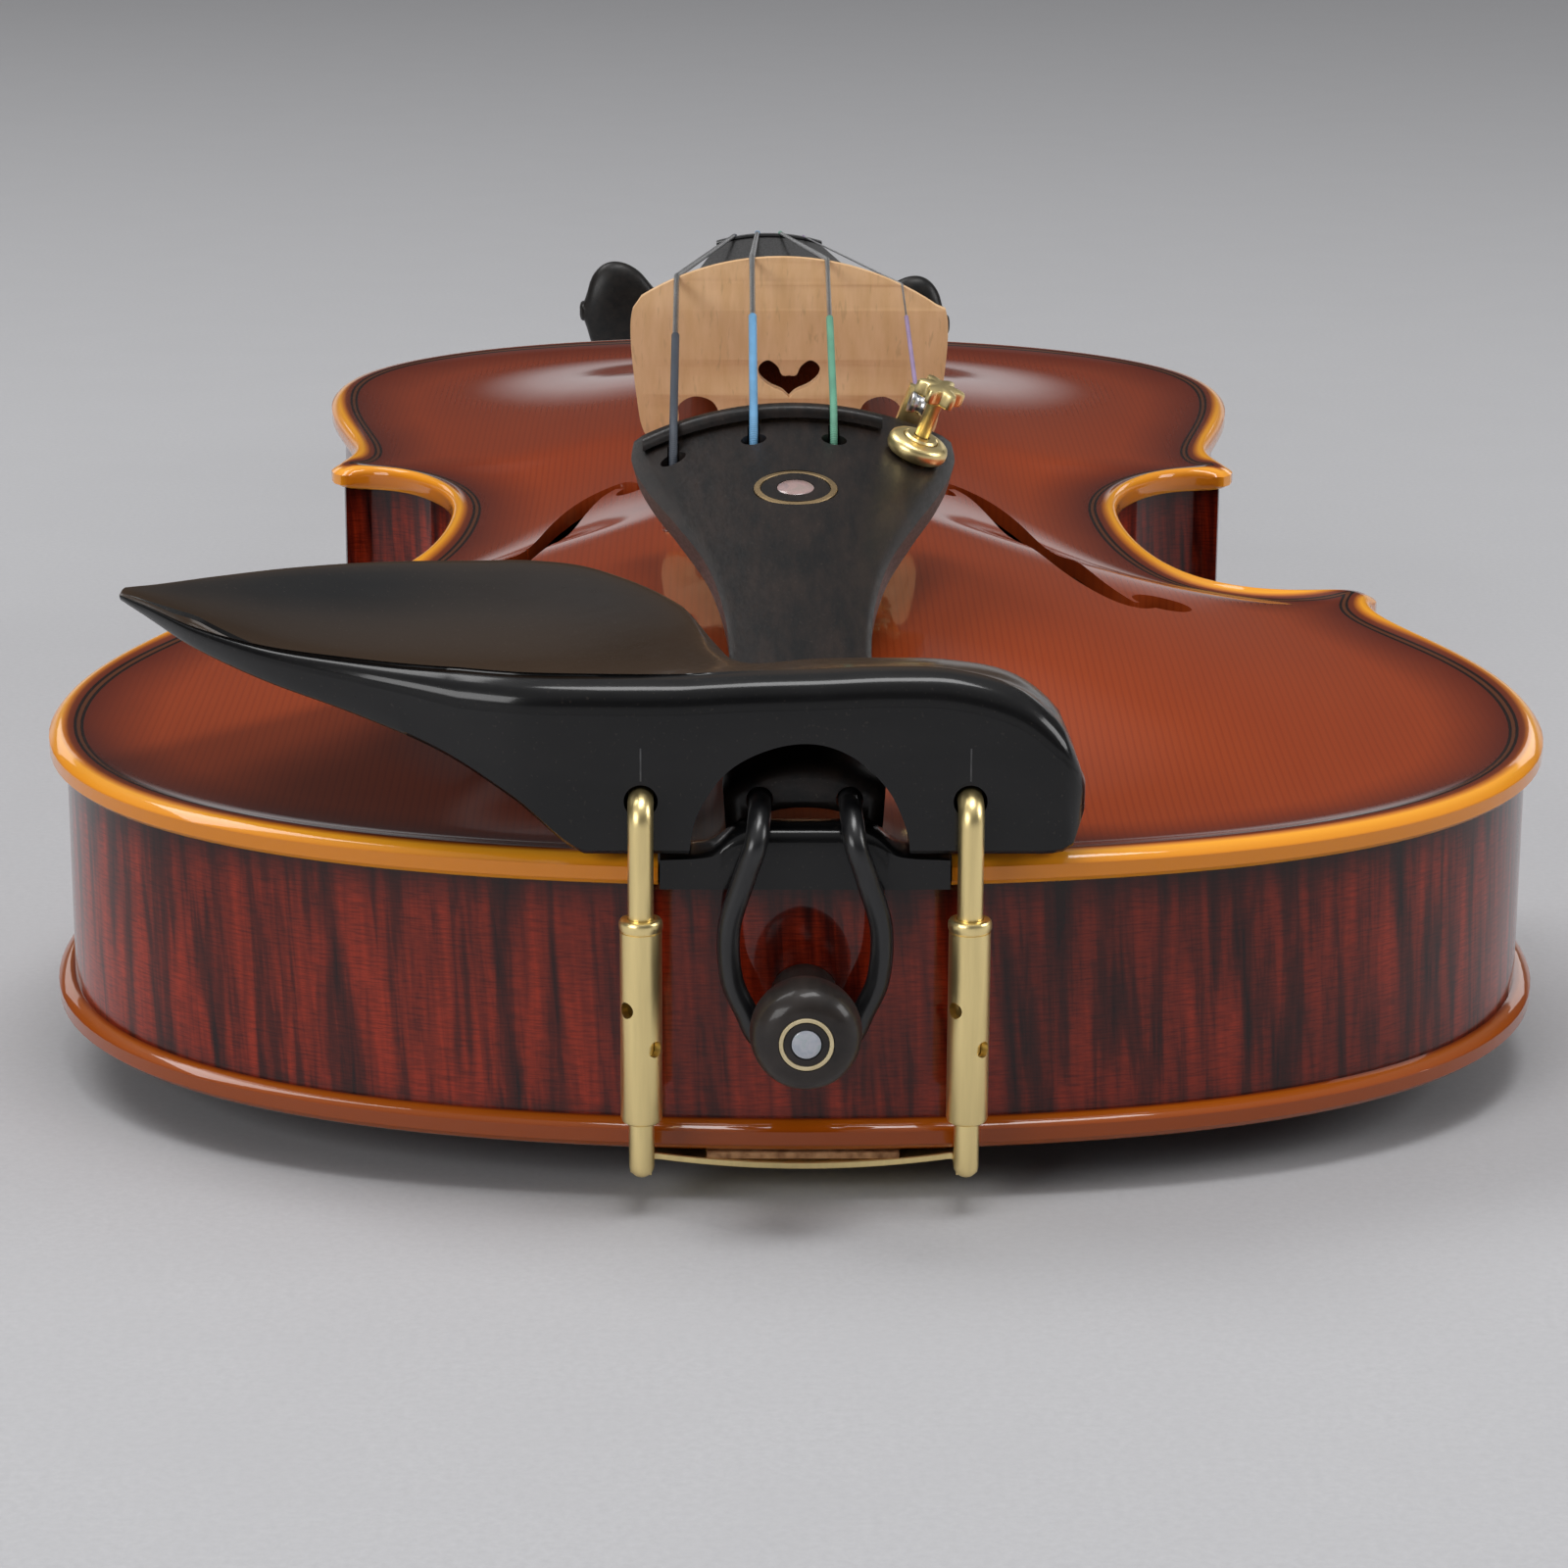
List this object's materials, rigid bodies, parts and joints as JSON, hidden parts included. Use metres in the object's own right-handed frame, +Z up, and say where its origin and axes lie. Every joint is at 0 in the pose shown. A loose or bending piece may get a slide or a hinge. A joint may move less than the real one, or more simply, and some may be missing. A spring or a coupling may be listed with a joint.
{
  "type": "violin with chinrest",
  "caption": "Violin with sound box, scroll neck, four pegs and strings, bridge, tailpiece with one fine tuner, end button and a clamped side chinrest; it lies on its back.",
  "frame": {"origin": "middle of the footprint, at the level of the table that the back and the scroll rest on", "axes": "+X to the treble side, +Y from the tail to the scroll, +Z up through the strings"},
  "size_m": [0.207, 0.6082, 0.0999],
  "materials": {
    "spruce_varnished": "glossy red-brown varnish over straight spruce grain, worn to orange at the edges",
    "maple_varnished": "glossy dark red-brown varnish over maple",
    "maple_flamed": "glossy dark varnish over flamed maple",
    "spruce_bare": "bare pale softwood",
    "ebony": "black ebony, satin",
    "maple_bare": "bare maple, speckled",
    "brass": "gold-plated brass, satin",
    "pearl": "mother of pearl",
    "tail_gut": "black cord, satin",
    "steel": "plain metal",
    "cork": "cork sheet",
    "silk_grey": "wound string with slate grey silk",
    "silk_blue": "wound string with blue silk",
    "silk_green": "wound string with green silk",
    "silk_violet": "steel string with violet silk"
  },
  "bodies": {
    "instrument": {"top_plate": "spruce_varnished", "back_plate": "maple_varnished", "neck_scroll": "maple_varnished", "lower_rib_treble": "maple_flamed", "lower_rib_bass": "maple_flamed", "middle_rib_treble": "maple_flamed", "middle_rib_bass": "maple_flamed", "upper_rib_treble": "maple_flamed", "upper_rib_bass": "maple_flamed", "lower_corner_block_treble": "spruce_bare", "lower_corner_block_bass": "spruce_bare", "upper_corner_block_treble": "spruce_bare", "upper_corner_block_bass": "spruce_bare", "lower_block": "spruce_bare", "upper_block": "spruce_bare", "bass_bar": "spruce_bare", "sound_post": "spruce_bare", "saddle": "ebony", "fingerboard": "ebony", "nut": "ebony", "tailpiece": "ebony", "tailpiece_fret": "ebony", "end_button": "ebony", "chinrest": "ebony", "bridge": "maple_bare", "tailpiece_eye_ring": "brass", "button_ring": "brass", "clamp_hook_treble": "brass", "clamp_hook_bass": "brass", "tuner_body": "brass", "tuner_pin": "brass", "tuner_ring": "brass", "tailpiece_eye_pearl": "pearl", "button_pearl": "pearl", "tail_gut": "tail_gut", "gut_nut_treble": "steel", "gut_nut_bass": "steel", "chinrest_cork_treble": "cork", "chinrest_cork_bass": "cork", "string_g": "silk_grey", "string_d": "silk_blue", "string_a": "silk_green", "string_e": "silk_violet"},
    "peg_g": {"peg_g": "ebony", "winding_g": "silk_grey"},
    "peg_d": {"peg_d": "ebony", "winding_d": "silk_blue"},
    "peg_a": {"peg_a": "ebony", "winding_a": "silk_green"},
    "peg_e": {"peg_e": "ebony", "winding_e": "silk_violet"},
    "tuner_screw": {"tuner_screw": "brass"},
    "tuner_lever": {"tuner_lever": "brass", "string_e_ball": "steel"},
    "clamp_barrel_treble": {"clamp_barrel_treble": "brass"},
    "clamp_barrel_bass": {"clamp_barrel_bass": "brass"},
    "clamp_bracket": {"clamp_bracket": "brass", "clamp_cork": "cork"}
  },
  "joints": [
    {"name": "peg_g_turn", "type": "hinge", "parent": "instrument", "child": "peg_g", "pos_m": [0, 0.21791, 0.04155], "axis": [1, 0, 0], "continuous": true},
    {"name": "peg_d_turn", "type": "hinge", "parent": "instrument", "child": "peg_d", "pos_m": [0, 0.24429, 0.03129], "axis": [1, 0, 0], "continuous": true},
    {"name": "peg_a_turn", "type": "hinge", "parent": "instrument", "child": "peg_a", "pos_m": [0, 0.25755, 0.02456], "axis": [1, 0, 0], "continuous": true},
    {"name": "peg_e_turn", "type": "hinge", "parent": "instrument", "child": "peg_e", "pos_m": [0, 0.23109, 0.03662], "axis": [1, 0, 0], "continuous": true},
    {"name": "tuner_screw_turn", "type": "hinge", "parent": "instrument", "child": "tuner_screw", "pos_m": [0.0175, -0.18014, 0.07716], "axis": [-0.3365, 0.2217, -0.9152], "range_deg": [0, 1080]},
    {"name": "tuner_lever_tilt", "type": "hinge", "parent": "instrument", "child": "tuner_lever", "pos_m": [0.01443, -0.16325, 0.07242], "axis": [0.9417, 0.0792, -0.3271], "range_deg": [0, 5.72]},
    {"name": "clamp_barrel_bass_turn", "type": "hinge", "parent": "instrument", "child": "clamp_barrel_bass", "pos_m": [-0.0203, -0.29184, 0.02523], "axis": [0, -0.0361, 0.9993], "range_deg": [0, 1081]},
    {"name": "clamp_barrel_treble_turn", "type": "hinge", "parent": "instrument", "child": "clamp_barrel_treble", "pos_m": [0.0203, -0.29184, 0.02523], "axis": [0, -0.0361, 0.9993], "range_deg": [0, 1081]},
    {"name": "clamp_bracket_drop", "type": "slide", "parent": "instrument", "child": "clamp_bracket", "axis": [0, 0.0361, -0.9993], "range_m": [0, 0.003]}
  ],
  "couplings": [
    {"joint": "tuner_lever_tilt", "follows": "tuner_screw_turn", "ratio": 0.0052011},
    {"joint": "clamp_barrel_treble_turn", "follows": "clamp_bracket_drop", "rad_per_m": 6283.2},
    {"joint": "clamp_barrel_bass_turn", "follows": "clamp_bracket_drop", "rad_per_m": 6283.2}
  ]
}
